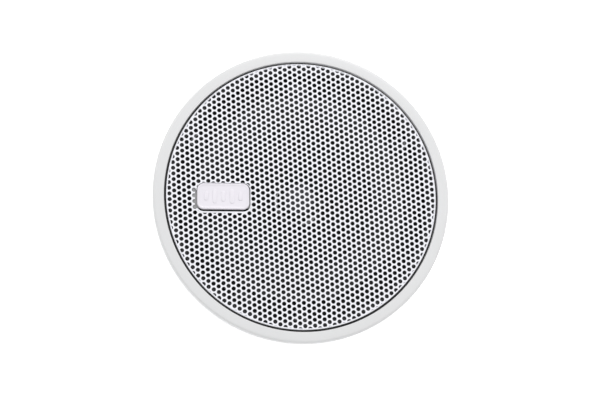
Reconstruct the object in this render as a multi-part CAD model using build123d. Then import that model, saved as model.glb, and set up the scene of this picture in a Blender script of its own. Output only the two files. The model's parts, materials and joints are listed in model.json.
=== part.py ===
from build123d import *
import math
import os

# Round flush-mounting smart speaker for a ceiling or a wall, in millimetres.
# The origin is the centre of the flange's back face, which lies against the board.
# +Z points out of the grille, into the room. +Y is the side with the cable gland.

# General clearances
GAP = 0.3  # between pieces that move apart
FIT = 0.05  # radial clearance of a running fit

# Bezel: the flat ring, with the groove that the grille's skirt drops into
FLANGE_R = 78.5
FLANGE_TOP = 5.0
FLANGE_ROUND = 2.2
RING_INNER_R = 72.6
GROOVE_INNER_R = 69.4
GROOVE_FLOOR = 2.4
LIP_R = 68.6
LIP_TOP = 3.2
LIP_BEVEL_END = 1.5
SEAL_IN, SEAL_OUT, SEAL_DEPTH = 73.4, 76.4, 1.0
MAGNET_IN, MAGNET_OUT, MAGNET_DEPTH, MAGNET_SWEEP = 70.6, 72.3, 1.2, 8.0

# Frame: the barrel, whose upper part centres the speaker in the cut-out, and the ledge ring inside it
BARREL_R = 70.0  # goes through a 142 mm cut-out
BARREL_LOWER_R = 69.2
BARREL_INNER_R = 67.5
BARREL_DEPTH = 26.0
COLLAR_R, COLLAR_TOP = 70.6, 0.8  # the barrel's collar, sunk in the bezel's back
LEDGE_R = 53.5
LEDGE_TOP = -9.5
LEDGE_UNDER = -12.0

# Grille: 2.2 mm holes, every second upright row half a pitch higher
GRILLE_R = 71.4
GRILLE_TOP = 4.6
GRILLE_SHEET = 1.0
GRILLE_SKIRT_END = 2.7
HOLE_R = 1.1
HOLE_PITCH = 3.03  # along an upright row
ROW_STEP = 2.578  # between upright rows
ROW_ANGLE = 92.83  # of the upright rows, from +X
ROW_OFFSET = -1.25  # the row of the centre hole, below the centre
HOLE_FIELD_R = 69.6

# Badge, left of the centre
BADGE_X, BADGE_Y = -41.65, -1.5
BADGE_LONG, BADGE_WIDE, BADGE_CORNER = 27.3, 13.8, 3.4
BADGE_TOP = 5.7
BACKING_TOP = GRILLE_TOP - GRILLE_SHEET
BACKING_T = 0.6
BARS = ((-9.0, 4.6), (-4.5, 7.6), (0.0, 5.6), (4.5, 7.6), (9.0, 4.6))  # place and height of each bar
BAR_WIDE = 2.3
RELIEF = 0.3

# Baffle and its driver
BAFFLE_R = BARREL_INNER_R - GAP
BAFFLE_TOP = -7.0
BAFFLE_COLLAR_TOP, BAFFLE_COLLAR_T = 1.0, 1.0
DRIVER_OPENING_R = 51.0
DRIVER_R = 55.5
SEAT_T = 0.7  # foam under the driver
FLANGE_SHEET = 1.8
ROLL_MID_R = 45.0
ROLL_R = 3.6
ROLL_T = 0.5
CONE_R = 41.2
NECK_R = 13.2
FORMER_WALL = 0.5
CONE_FRONT = -4.5
CONE_DEPTH = 12.5
CONE_T = 0.8
PLATE_TOP, PLATE_T, PLATE_R = -24.0, 4.0, 33.0
MAGNET_T, MAGNET_R = 10.0, 36.0
YOKE_T = 4.0
POLE_R = 12.3
POST_R = 3.0

# Rear can
CAN_R, CAN_END_R, CAN_WALL = 55.5, 53.5, 2.2
CAN_RIM = -12.8
CAN_BEAD_R, CAN_BEAD_T = 56.5, 1.2  # the can's ring presses on it
CAN_TAPER_START = -24.0
CAN_FLOOR = -62.0
CAN_BOTTOM = -64.5
RING_R = 56.6
EAR_AT_R, EAR_R = 61.3, 4.2
EAR_TOP, EAR_T = -20.0, 2.5
EAR_ANGLES = [60.0 * n for n in range(6)]

# Swing-out clamps
SMALL_ROD_R = 1.25  # shank of the small screws
CLAMP_AT_R = 61.5
CLAMP_ANGLES = (30.0, 150.0, 270.0)
CLAMP_ROD_R = 2.0
CLAMP_HEAD_R = 3.4
CLAMP_END = -46.0
NUT_TOP, NUT_LONG = -30.6, 9.2
ARM_REACH, ARM_WIDE, ARM_HUB_R = 18.0, 6.0, 4.6
POCKET_START, POCKET_SWEEP = -4.5, 24.5

# Electronics in the can
BOARD_R, BOARD_T, BOARD_TOP = 46.0, 1.6, -56.0
STANDOFF_AT_R = 40.0
STANDOFF_ANGLES = (20.0, 130.0, 215.0, 310.0)
SIDE_Z = -46.0  # height of the gland, the button and the terminals
GLAND_ANGLE, BUTTON_ANGLE, TERMINAL_ANGLE = 60.0, 0.0, 90.0
GLAND_BORE_R = 3.5


def rod(radius, low, high):
    """A cylinder on the Z axis between two heights."""
    return Pos(0, 0, low) * Cylinder(radius, high - low, align=(Align.CENTER, Align.CENTER, Align.MIN))


def pipe(outer, inner, low, high):
    """A tube on the Z axis between two heights."""
    return rod(outer, low, high) - rod(inner, low, high)


def block(x, y, z):
    """A box between two values on each axis."""
    middle = [(low + high) / 2 for low, high in (x, y, z)]
    return Pos(*middle) * Box(x[1] - x[0], y[1] - y[0], z[1] - z[0])


def turned(*points):
    """A solid of revolution about Z from an outline of (radius, height) points."""
    return revolve(Plane.XZ * make_face(Polyline(*points, close=True)), Axis.Z)


def sector(inner, outer, low, high, start, sweep):
    """A block between two radii, two heights and two angles."""
    outline = Polyline((inner, low), (outer, low), (outer, high), (inner, high), close=True)
    return Rot(0, 0, start) * revolve(Plane.XZ * make_face(outline), Axis.Z, revolution_arc=sweep)


def around(angles, radius):
    """The places at these angles on a circle, each turned to face outwards."""
    return [Rot(0, 0, angle) * Pos(radius, 0, 0) for angle in angles]


def outwards(angle, height):
    """A place on the Z axis whose own Z points outwards at this angle, and own X points down."""
    return Rot(0, 0, angle) * Pos(0, 0, height) * Rot(0, 90, 0)


def group(shapes):
    """Several separate solids as one node."""
    return Compound(children=[Compound(children=shape.solids()) for shape in shapes])


def circles(shape, radius, height):
    """The circular edges of this radius at this height."""
    level = [edge for edge in shape.edges().filter_by(GeomType.CIRCLE) if abs(edge.center().Z - height) < 0.01]
    return [edge for edge in level if abs(edge.radius - radius) < 0.01]


def pan_screw(rod_r, head_r, head_t, length):
    """A pan-head screw with a cross recess: its head stands on z = 0, above its shank."""
    head = rod(head_r, 0, head_t)
    head = fillet(head.edges().sort_by(Axis.Z)[-1], head_t * 0.5)
    recess = head_r * 1.1
    cross = Box(recess, head_t * 0.3, head_t) + Box(head_t * 0.3, recess, head_t)
    return head + rod(rod_r, -length, 0) - Pos(0, 0, head_t) * cross


def screws(places, seat, head_r, head_t, length):
    """Small pan-head screws whose heads stand at one height."""
    return group([place * Pos(0, 0, seat) * pan_screw(SMALL_ROD_R, head_r, head_t, length) for place in places])


def hex_nut(across_flats, bore_r, low, high):
    """A hexagon with a bore, between two heights."""
    outline = RegularPolygon(across_flats / 2, 6, major_radius=False)
    return Pos(0, 0, low) * extrude(outline, high - low) - rod(bore_r, low, high)


def dome(rim_r, rise, thickness, rim_z):
    """A thin spherical cap whose rim is at rim_z."""
    radius = (rim_r**2 + rise**2) / (2 * rise)
    shell = Sphere(radius) - Sphere(radius - thickness)
    above = rod(2 * radius, radius - rise, 2 * radius)
    return Pos(0, 0, rim_z - radius + rise) * (shell & above)


def wire(radius, corner_r, *points):
    """A round wire along straight runs joined by arcs."""
    path = FilletPolyline(*points, radius=corner_r)
    return sweep(Plane(path @ 0, z_dir=path % 0) * Circle(radius), path=path)


# Places that several pieces share
basket_front = BAFFLE_TOP + SEAT_T + FLANGE_SHEET
magnet_top = PLATE_TOP - PLATE_T
yoke_top = magnet_top - MAGNET_T
yoke_end = yoke_top - YOKE_T
clamp_places = around(CLAMP_ANGLES, CLAMP_AT_R)
ear_places = around(EAR_ANGLES, EAR_AT_R)
baffle_screw_places = around([angle + side for angle in CLAMP_ANGLES for side in (-40, 40)], 60.5)
basket_screw_places = around([45.0 + 90.0 * n for n in range(4)], 53.4)
standoff_places = around(STANDOFF_ANGLES, STANDOFF_AT_R)
magnet_angles = [45.0 + 90.0 * n for n in range(4)]
badge_place = Pos(BADGE_X, BADGE_Y, 0)


# ---------------------------------------------------------------- frame and trim


def magnet_block(angle):
    """One magnet's space in the floor of the bezel's groove."""
    return sector(MAGNET_IN, MAGNET_OUT, GROOVE_FLOOR - MAGNET_DEPTH, GROOVE_FLOOR, angle, MAGNET_SWEEP)


def make_bezel():
    body = turned(
        (COLLAR_R, 0), (FLANGE_R, 0), (FLANGE_R, FLANGE_TOP), (RING_INNER_R, FLANGE_TOP),
        (RING_INNER_R, GROOVE_FLOOR), (GROOVE_INNER_R, GROOVE_FLOOR), (GROOVE_INNER_R, LIP_TOP),
        (LIP_R, LIP_TOP), (BARREL_INNER_R, LIP_BEVEL_END), (BARREL_INNER_R, COLLAR_TOP), (COLLAR_R, COLLAR_TOP),
    )
    body = fillet(circles(body, FLANGE_R, FLANGE_TOP), FLANGE_ROUND)
    body -= pipe(SEAL_OUT, SEAL_IN, 0, SEAL_DEPTH)
    for angle in magnet_angles:
        body -= magnet_block(angle)
    return body


def make_frame():
    """The barrel: a tube with a pocket for each folded clamp arm."""
    step = BARREL_R - BARREL_LOWER_R
    body = turned(
        (BARREL_INNER_R, COLLAR_TOP), (COLLAR_R, COLLAR_TOP), (COLLAR_R, 0), (BARREL_R, 0), (BARREL_R, LEDGE_UNDER),
        (BARREL_LOWER_R, LEDGE_UNDER - step), (BARREL_LOWER_R, -BARREL_DEPTH), (BARREL_INNER_R, -BARREL_DEPTH),
    )
    for angle in CLAMP_ANGLES:
        body -= sector(66.5, 71, -BARREL_DEPTH - 1, LEDGE_UNDER, angle + POCKET_START, POCKET_SWEEP)
    return body


def make_ledge_ring():
    """The ring in the barrel that carries the baffle above it and the can's bosses below it."""
    body = pipe(BARREL_INNER_R, LEDGE_R, LEDGE_UNDER, LEDGE_TOP)
    for place in ear_places:
        body += place * rod(EAR_R, EAR_TOP, LEDGE_UNDER)
        body -= place * rod(1.5, EAR_TOP, LEDGE_UNDER + 1)
    for place in clamp_places:
        body -= place * rod(CLAMP_ROD_R + FIT, LEDGE_UNDER, LEDGE_TOP)
    for place in baffle_screw_places:
        body -= place * rod(SMALL_ROD_R, LEDGE_UNDER, LEDGE_TOP)
    return body


def make_grille_magnets():
    return group([magnet_block(angle) for angle in magnet_angles])


def badge_outline(grow):
    return RectangleRounded(BADGE_LONG + 2 * grow, BADGE_WIDE + 2 * grow, BADGE_CORNER + grow)


def hole_centres():
    """The holes of the triangular pattern that lie wholly on the sheet, clear of the badge."""
    row = (math.cos(math.radians(ROW_ANGLE)), math.sin(math.radians(ROW_ANGLE)))
    count = int(GRILLE_R / ROW_STEP) + 1
    centres = []
    for i in range(-count, count + 1):
        for j in range(-count, count + 1):
            along = (j + i % 2 / 2) * HOLE_PITCH
            x = along * row[0] + i * ROW_STEP * row[1]
            y = along * row[1] - i * ROW_STEP * row[0] + ROW_OFFSET
            off_badge_x = abs(x - BADGE_X) - BADGE_LONG / 2
            off_badge_y = abs(y - BADGE_Y) - BADGE_WIDE / 2
            if math.hypot(x, y) < HOLE_FIELD_R - HOLE_R and max(off_badge_x, off_badge_y) > HOLE_R + 0.8:
                centres.append((x, y))
    return centres


def make_grille():
    """A perforated sheet with a turned-down skirt, and a window for the badge."""
    low = GRILLE_TOP - GRILLE_SHEET
    disc = Wire([Edge.make_circle(GRILLE_R - GRILLE_SHEET)])
    holes = [Wire([Edge.make_circle(HOLE_R, Plane((x, y, 0)))]) for x, y in hole_centres()]
    window = (badge_place * badge_outline(0.4)).faces()[0].outer_wire()
    sheet = Pos(0, 0, low) * extrude(Face(disc, holes + [window]), GRILLE_SHEET)
    skirt = pipe(GRILLE_R, GRILLE_R - GRILLE_SHEET, GRILLE_SKIRT_END, GRILLE_TOP)
    return sheet + fillet(circles(skirt, GRILLE_R, GRILLE_TOP), 0.5)


def make_badge():
    """A raised pad in the window, with a rim and five plain bars in low relief."""
    body = badge_place * Pos(0, 0, BACKING_TOP) * extrude(badge_outline(0), BADGE_TOP - BACKING_TOP)
    body = fillet(body.edges().group_by(Axis.Z)[-1], 0.5)
    panel = badge_place * Pos(0, 0, BADGE_TOP - RELIEF) * extrude(badge_outline(-1.2), RELIEF)
    for place, height in BARS:
        bar = extrude(RectangleRounded(BAR_WIDE, height, BAR_WIDE / 2 - 0.05), RELIEF)
        panel -= badge_place * Pos(place, 0, BADGE_TOP - RELIEF) * bar
    return body - panel


def make_badge_backing():
    """The plate that holds the badge from behind the sheet, longer on the left."""
    plate = RectangleRounded(BADGE_LONG + 5, BADGE_WIDE - 2.6, 2)
    return badge_place * Pos(-1.8, -0.6, BACKING_TOP - BACKING_T) * extrude(plate, BACKING_T)


def make_baffle():
    """The black plate round the driver, with a collar that hides the bezel's inner wall."""
    body = pipe(BAFFLE_R, DRIVER_OPENING_R, LEDGE_TOP, BAFFLE_TOP)
    body += pipe(BAFFLE_R, BAFFLE_R - BAFFLE_COLLAR_T, BAFFLE_TOP, BAFFLE_COLLAR_TOP)
    clear = CLAMP_HEAD_R + GAP + 0.1
    for place in clamp_places:
        notch = block((0, 9), (-clear, clear), (LEDGE_TOP, BAFFLE_TOP))
        body -= place * (rod(clear, LEDGE_TOP, BAFFLE_TOP) + notch)
    for place in baffle_screw_places + basket_screw_places:
        body -= place * rod(SMALL_ROD_R, LEDGE_TOP, BAFFLE_TOP)
    return body


# ---------------------------------------------------------------- woofer


def make_basket():
    """A pressed steel basket with six windows."""
    under_flange = basket_front - FLANGE_SHEET
    body = turned(
        (48.4, basket_front), (DRIVER_R, basket_front), (DRIVER_R, under_flange), (49.8, under_flange),
        (39.4, -21.2), (28.2, -21.2), (28.2, -22.8), (32.0, -22.8), (32.0, PLATE_TOP), (14.6, PLATE_TOP),
        (14.6, -22.8), (27.0, -22.8), (27.0, -20.0), (38.6, -20.0), (48.4, under_flange + 0.3),
    )
    for n in range(6):
        body -= sector(36, 52, -18.8, -8.0, 60 * n - 19, 38)
    for place in basket_screw_places:
        body -= place * rod(SMALL_ROD_R, under_flange, basket_front)
    return body


def make_driver_gasket():
    """The foam ring between the basket and the baffle, with the screws' holes."""
    body = pipe(DRIVER_R, 51.2, BAFFLE_TOP, BAFFLE_TOP + SEAT_T)
    for place in basket_screw_places:
        body -= place * rod(SMALL_ROD_R, BAFFLE_TOP, BAFFLE_TOP + SEAT_T)
    return body


def make_surround():
    """The half-roll edge of the cone, with a flat land on each side."""
    level = basket_front
    roll = Pos(0, 0, level) * (Torus(ROLL_MID_R, ROLL_R + ROLL_T) - Torus(ROLL_MID_R, ROLL_R))
    roll &= rod(60, level, level + 10)
    lands = pipe(51.4, ROLL_MID_R + ROLL_R, level, level + ROLL_T)
    lands += pipe(ROLL_MID_R - ROLL_R, CONE_R - 2.6, level, level + ROLL_T)
    return roll + lands


def make_cone():
    end = CONE_FRONT - CONE_DEPTH
    slope_in = CONE_R - 2.6
    return turned(
        (CONE_R, CONE_FRONT), (slope_in, CONE_FRONT), (NECK_R, end), (NECK_R, end - 1.0),
        (slope_in + 0.3, CONE_FRONT - CONE_T), (CONE_R, CONE_FRONT - CONE_T),
    )


def make_spider():
    """The corrugated disc that centres the coil."""
    level = -19.6
    inner, outer, waves, steps = NECK_R, 27.0, 4, 32
    upper, lower = [], []
    for n in range(steps + 1):
        radius = inner + (outer - inner) * n / steps
        height = level + 0.7 * math.sin(math.tau * waves * n / steps)
        upper.append((radius, height + 0.2))
        lower.append((radius, height - 0.2))
    edge = [(31.0, level + 0.2), (31.0, level - 0.4), (outer, level - 0.4)]
    return turned(*upper, *edge, *reversed(lower[:-1]))


def make_yoke():
    body = rod(PLATE_R, yoke_end, yoke_top) + rod(POLE_R, yoke_top, PLATE_TOP)
    body -= rod(POST_R, yoke_end, PLATE_TOP)
    return chamfer(circles(body, PLATE_R, yoke_end), 1.2)


def make_tinsel_leads():
    """Two soft leads from the terminal strip through a basket window to the cone."""
    leads = []
    for side in (-4, 4):
        bends = (-43.0, side, -15.0), (-32.0, side, -14.0)
        leads.append(wire(0.4, 1.4, (-43.0, side, -21.2), *bends, (-30.0, side, -10.4)))
    return group(leads)


# ---------------------------------------------------------------- tweeter on its post


def make_tweeter_post():
    return pipe(POST_R, 1.4, yoke_end, -13.0)


def make_tweeter_housing():
    """The cup that holds the magnet, and the face ring that closes it."""
    cup = turned(
        (1.4, -13.0), (10.0, -13.0), (11.5, -11.5), (11.5, -6.0), (10.3, -6.0), (10.3, -11.5), (1.4, -11.5)
    )
    return group([cup, pipe(11.5, 8.8, -6.0, -5.2)])


def make_tweeter_magnet():
    """The ring magnet and the pole inside its gap, as one assembly."""
    ring = pipe(9.2, 7.0, -11.5, -8.2)
    pole = rod(5.6, -11.5, -8.2)
    return group([ring, pole])


def make_tweeter_dome():
    """The dome and the coil under it."""
    return group([dome(8.0, 2.6, 0.4, -6.8), pipe(6.5, 6.1, -9.6, -6.6)])


# ---------------------------------------------------------------- rear can and its fittings


def make_rear_can():
    """The can's wall, with a bead near its rim and a boss for each side fitting."""
    body = turned(
        (CAN_R - CAN_WALL, CAN_RIM), (CAN_R, CAN_RIM), (CAN_R, EAR_TOP + CAN_BEAD_T),
        (CAN_BEAD_R, EAR_TOP + CAN_BEAD_T), (CAN_BEAD_R, EAR_TOP), (CAN_R, EAR_TOP), (CAN_R, CAN_TAPER_START),
        (CAN_END_R, CAN_FLOOR), (CAN_END_R - CAN_WALL, CAN_FLOOR), (CAN_R - CAN_WALL, CAN_TAPER_START),
    )
    gland = outwards(GLAND_ANGLE, SIDE_Z)
    body += gland * rod(10.0, 51.0, 56.5)
    body -= gland * rod(6.0, 51.0, 56.5)
    button = outwards(BUTTON_ANGLE, SIDE_Z)
    body += button * rod(8.0, 52.0, 55.6)
    body -= button * rod(4.0 + FIT, 50.0, 55.6)
    terminals = outwards(TERMINAL_ANGLE, SIDE_Z)
    body += terminals * block((-8, 8), (-15, 15), (50.8, 56.0))
    body -= terminals * block((-6, 6), (-13, 13), (48.0, 56.0))
    return body


def make_can_floor():
    """The can's end, with a chamfered rim outside and the board's standoffs inside."""
    body = turned(
        (0, CAN_FLOOR), (CAN_END_R, CAN_FLOOR), (CAN_END_R, CAN_BOTTOM + 2), (CAN_END_R - 2, CAN_BOTTOM),
        (0, CAN_BOTTOM),
    )
    for place in standoff_places:
        body += place * pipe(3.2, SMALL_ROD_R, CAN_FLOOR, BOARD_TOP - BOARD_T)
    return body


def make_can_ring():
    """The steel ring whose ears take the six screws that hold the can up."""
    low = EAR_TOP - EAR_T
    body = rod(RING_R, low, EAR_TOP)
    for place, angle in zip(ear_places, EAR_ANGLES):
        arm = block((0, EAR_AT_R), (-EAR_R, EAR_R), (low, EAR_TOP))
        body += place * rod(EAR_R, low, EAR_TOP) + Rot(0, 0, angle) * arm
    body -= rod(CAN_R, low, EAR_TOP)
    for place in ear_places:
        body -= place * rod(1.5, low, EAR_TOP)
    return body


def make_gland_body():
    """The threaded body with its hexagon, through the can's wall, and the nut inside the wall."""
    body = rod(6.0, 48.0, 63.0) + hex_nut(16, 5.9, 57.5, 60.5)
    body -= rod(GLAND_BORE_R, 48.0, 63.0)
    return outwards(GLAND_ANGLE, SIDE_Z) * group([body, hex_nut(16, 6.0, 48.5, 51.0)])


def make_gland_cap():
    """The domed cap that squeezes the seal onto the cable."""
    cap = fillet(rod(7.6, 60.5, 68.5).edges().sort_by(Axis.Z)[-1], 2.5)
    cap -= rod(6.0, 60.5, 63.0) + rod(4.6, 63.0, 66.5) + rod(GLAND_BORE_R, 66.5, 68.5)
    for n in range(12):
        cap -= Rot(0, 0, 30 * n) * Pos(7.9, 0, 63.2) * Cylinder(0.6, 4.6)
    return outwards(GLAND_ANGLE, SIDE_Z) * cap


def make_terminal_block():
    """The push-in outlet for a second speaker: a block, two wire holes and a lever pivot."""
    body = block((-6, 6), (-13, 13), (44.0, 57.0))
    for side in (-5.5, 5.5):
        body -= Pos(3.8, side, 0) * rod(1.5, 48.0, 57.0)
    for side in (-11.0, 0, 11.0):
        body += block((-5.3, -3.3), (side - 1, side + 1), (57.0, 59.3))
    pivot = Pos(-4.3, 0, 58.3) * Rot(90, 0, 0) * Cylinder(0.6, 24.0)
    return outwards(TERMINAL_ANGLE, SIDE_Z) * (body + pivot)


def make_terminal_lever(side):
    width = 3.9
    hub = Pos(-4.3, side, 58.3) * Rot(90, 0, 0) * Cylinder(1.0, 2 * width)
    plate = block((-4.3, 1.6), (side - width, side + width), (57.3, 59.3))
    bore = Pos(-4.3, side, 58.3) * Rot(90, 0, 0) * Cylinder(0.6 + FIT, 4 * width)
    return outwards(TERMINAL_ANGLE, SIDE_Z) * (hub + plate - bore)


def make_pairing_button():
    button = rod(4.0, 50.5, 56.6) + rod(5.2, 50.0, 51.0)
    button = fillet(button.edges().sort_by(Axis.Z)[-1], 0.6)
    return outwards(BUTTON_ANGLE, SIDE_Z) * button


# ---------------------------------------------------------------- electronics


def on_board(x, y, wide, deep, tall, base=BOARD_TOP):
    """A box that stands on the main board at x, y."""
    return block((x - wide / 2, x + wide / 2), (y - deep / 2, y + deep / 2), (base, base + tall))


def make_main_board():
    body = rod(BOARD_R, BOARD_TOP - BOARD_T, BOARD_TOP)
    for place in standoff_places:
        body -= place * rod(SMALL_ROD_R, BOARD_TOP - BOARD_T, BOARD_TOP)
    return body


def make_heat_sink():
    """A base plate with fins, on the amplifier chip."""
    x, y, base = 4.0, -24.0, BOARD_TOP + 1.5
    body = on_board(x, y, 26, 18, 1.8, base)
    for n in range(7):
        body += on_board(x - 12 + 4 * n, y, 1.2, 18, 9.0, base)
    return body


def make_wireless_module():
    """The radio board with its shield can."""
    board = on_board(24, 12, 18, 14, 0.8)
    shield = on_board(24, 12, 15, 12, 1.8, BOARD_TOP + 0.8)
    return board + shield


def make_power_converter():
    """The transformer: a wound bobbin between two ferrite halves."""
    x, y = -18.0, 14.0
    body = on_board(x, y, 22, 16, 11)
    body += on_board(x, y, 16, 22, 7, BOARD_TOP + 2)
    return body + on_board(x, y, 22, 18, 2)


def make_capacitors():
    tops = []
    for x, y in ((-38, -4), (-36, -14), (-22, -24), (-8, 36)):
        can = rod(4.5, BOARD_TOP, BOARD_TOP + 10)
        tops.append(Pos(x, y, 0) * fillet(can.edges().sort_by(Axis.Z)[-1], 0.6))
    return group(tops)


def make_inductors():
    coils = []
    for x, y in ((-6, -7), (8, -7)):
        stand = pipe(4.6, 3.8, BOARD_TOP, BOARD_TOP + 3)
        coils.append(Pos(x, y, BOARD_TOP + 3) * Torus(4.2, 2.2) + Pos(x, y, 0) * stand)
    return group(coils)


def make_board_connectors():
    """The speaker, supply and microphone headers."""
    supply = Rot(0, 0, GLAND_ANGLE) * on_board(36, 0, 8, 12, 7)
    return group([on_board(-38, 7, 7, 10, 7), supply, on_board(30, -22, 6, 12, 4)])


def make_speaker_leads():
    leads = []
    for side in (5.0, 9.0):
        top_y = side - 2.0
        bends = (-40, side, -42.0), (-45, top_y, -34.0)
        leads.append(wire(0.8, 3.0, (-40, side, -49.0), *bends, (-45, top_y, -22.4)))
    return group(leads)


def make_supply_leads():
    leads = []
    for side in (-1.7, 1.7):
        lead = wire(0.9, 2.0, (48.0, side, SIDE_Z), (38.0, side, SIDE_Z), (38.0, side, BOARD_TOP + 7))
        leads.append(Rot(0, 0, GLAND_ANGLE) * lead)
    return group(leads)


def make_small_boards():
    """The driver's terminal strip, the upright antenna board, and two microphone boards on the baffle."""
    boards = [block((-46, -33.5), (-7, 7), (-22.4, -21.2)), on_board(34, 27, 0.9, 14, 9)]
    for angle in (90.0, 240.0):
        board = block((57.6, 63.0), (-5, 5), (BAFFLE_TOP, BAFFLE_TOP + 1))
        can = block((58.8, 61.8), (-2, 2), (BAFFLE_TOP + 1, BAFFLE_TOP + 2))
        boards.append(Rot(0, 0, angle) * (board + can))
    return group(boards)


# ---------------------------------------------------------------- swing-out clamps


def make_clamp_screw():
    head_low = LEDGE_TOP + 0.1
    return Pos(0, 0, head_low) * pan_screw(CLAMP_ROD_R, CLAMP_HEAD_R, 2.3, head_low - CLAMP_END)


def make_clamp_nut():
    """A brass bush that climbs the screw, with a collar at each end."""
    low = NUT_TOP - NUT_LONG
    body = rod(3.2, low, NUT_TOP) + rod(4.3, low, low + 0.6) + rod(4.3, NUT_TOP - 0.6, NUT_TOP)
    return body - rod(CLAMP_ROD_R + FIT, low, NUT_TOP)


def make_clamp_arm():
    """The dog: it lies along the barrel and swings out to grip the board."""
    top = NUT_TOP - 0.6 - GAP
    low = NUT_TOP - NUT_LONG + 0.6 + GAP
    half = ARM_WIDE / 2
    bar = block((-half, half), (0, ARM_REACH - half), (low + 2, top))
    tip = Pos(0, ARM_REACH - half, 0) * rod(half, low + 2, NUT_TOP)
    web = block((-1, 1), (0, ARM_REACH - half), (low, low + 2))
    return rod(ARM_HUB_R, low, top) + bar + tip + web - rod(3.2 + FIT, low, top)


# ---------------------------------------------------------------- every node


def make_nodes():
    gland = outwards(GLAND_ANGLE, SIDE_Z)
    switch = outwards(BUTTON_ANGLE, SIDE_Z)
    nodes = {
        "frame": make_frame(),
        "bezel": make_bezel(),
        "ledge_ring": make_ledge_ring(),
        "flange_gasket": pipe(SEAL_OUT, SEAL_IN, 0, SEAL_DEPTH),
        "grille_magnets": make_grille_magnets(),
        "grille": make_grille(),
        "badge": make_badge(),
        "badge_backing": make_badge_backing(),
        "baffle": make_baffle(),
        "baffle_screws": screws(baffle_screw_places, BAFFLE_TOP, 2.4, 1.6, 4.8),
        "basket": make_basket(),
        "basket_screws": screws(basket_screw_places, basket_front, 2.0, 1.4, 4.6),
        "driver_gasket": make_driver_gasket(),
        "top_plate": pipe(PLATE_R, POLE_R + 2, magnet_top, PLATE_TOP),
        "magnet": pipe(MAGNET_R, 17.0, yoke_top, magnet_top),
        "yoke": make_yoke(),
        "surround": make_surround(),
        "spider": make_spider(),
        "cone": make_cone(),
        "coil_former": pipe(NECK_R, NECK_R - FORMER_WALL, -31.0, -15.5),
        "voice_coil": pipe(NECK_R + 0.7, NECK_R, -30.0, -23.0),
        "tinsel_leads": make_tinsel_leads(),
        "tweeter_post": make_tweeter_post(),
        "tweeter_housing": make_tweeter_housing(),
        "tweeter_magnet": make_tweeter_magnet(),
        "tweeter_dome": make_tweeter_dome(),
        "rear_can": make_rear_can(),
        "can_floor": make_can_floor(),
        "can_ring": make_can_ring(),
        "can_gasket": pipe(CAN_R - 0.1, CAN_R - CAN_WALL + 0.3, CAN_RIM, LEDGE_UNDER),
        "can_screws": group(
            [
                place * Pos(0, 0, EAR_TOP - EAR_T) * Rot(180, 0, 0) * pan_screw(1.5, 2.8, 1.8, 9.4)
                for place in ear_places
            ]
        ),
        "gland_body": make_gland_body(),
        "gland_cap": make_gland_cap(),
        "gland_seals": gland * group([pipe(8.6, 6.0, 56.5, 57.5), pipe(4.6, GLAND_BORE_R, 63.0, 66.5)]),
        "terminal_block": make_terminal_block(),
        "terminal_lever_1": make_terminal_lever(-5.5),
        "terminal_lever_2": make_terminal_lever(5.5),
        "pairing_button": make_pairing_button(),
        "button_switch": switch * (block((-4, 4), (-6, 6), (45.0, 46.2)) + rod(1.6, 46.2, 48.6)),
        "main_board": make_main_board(),
        "board_screws": screws(standoff_places, BOARD_TOP, 2.6, 1.6, 5.4),
        "amplifier_chip": on_board(4, -24, 10, 10, 1.5),
        "heat_sink": make_heat_sink(),
        "wireless_module": make_wireless_module(),
        "power_converter": make_power_converter(),
        "capacitors": make_capacitors(),
        "inductors": make_inductors(),
        "board_connectors": make_board_connectors(),
        "speaker_leads": make_speaker_leads(),
        "supply_leads": make_supply_leads(),
        "small_boards": make_small_boards(),
    }
    clip = pipe(3.3, CLAMP_ROD_R, -44.8, -44.0)
    for number, place in enumerate(clamp_places, 1):
        nodes[f"clamp_screw_{number}"] = place * (make_clamp_screw() + clip)
        nodes[f"clamp_nut_{number}"] = place * make_clamp_nut()
        nodes[f"clamp_arm_{number}"] = place * make_clamp_arm()
    return nodes


os.makedirs("parts", exist_ok=True)
for name, shape in make_nodes().items():
    export_step(shape, f"parts/{name}.step")
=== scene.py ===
import json
import math

import bmesh
import bpy
from mathutils import Matrix, Vector


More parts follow.
